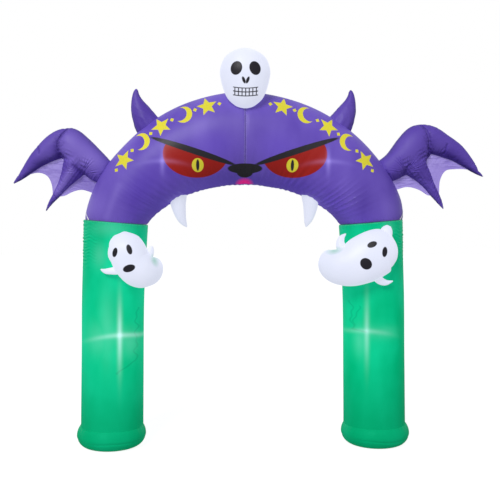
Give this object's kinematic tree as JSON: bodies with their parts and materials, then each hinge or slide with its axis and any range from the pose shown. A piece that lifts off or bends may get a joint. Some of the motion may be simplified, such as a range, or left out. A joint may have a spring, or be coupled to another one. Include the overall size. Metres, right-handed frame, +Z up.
{
  "type": "inflatable walk-through arch",
  "caption": "Inflatable garden arch to walk through: round legs with bulging feet, a fat bow with horns, bat wings and fangs, a skull at the crown and a ghost on each leg.",
  "frame": {"origin": "on the floor, in the middle of the whole outline seen from above", "axes": "+Z up, the front with the face looks along -Y, +X to the right as seen from the front, from wing tip to wing tip"},
  "size_m": [3.3434, 0.6704, 2.757],
  "materials": {
    "purple_nylon": "satin, lit from inside",
    "green_nylon": "satin, lit from inside",
    "white_nylon": "satin, lit from inside",
    "web_nylon": "satin, one thin layer",
    "white_tape": "matt woven tape"
  },
  "bodies": {
    "root": {"arch_body": "purple_nylon", "horn_left": "purple_nylon", "horn_right": "purple_nylon", "wing_left": "purple_nylon", "wing_right": "purple_nylon", "web_outer_left": "web_nylon", "web_inner_left": "web_nylon", "web_outer_right": "web_nylon", "web_inner_right": "web_nylon", "leg_left": "green_nylon", "leg_right": "green_nylon", "foot_left": "green_nylon", "foot_right": "green_nylon", "fang_left": "white_nylon", "fang_right": "white_nylon", "skull": "white_nylon", "ghost_left": "white_nylon", "ghost_right": "white_nylon", "tab_left": "white_tape", "tab_right": "white_tape"}
  },
  "joints": []
}
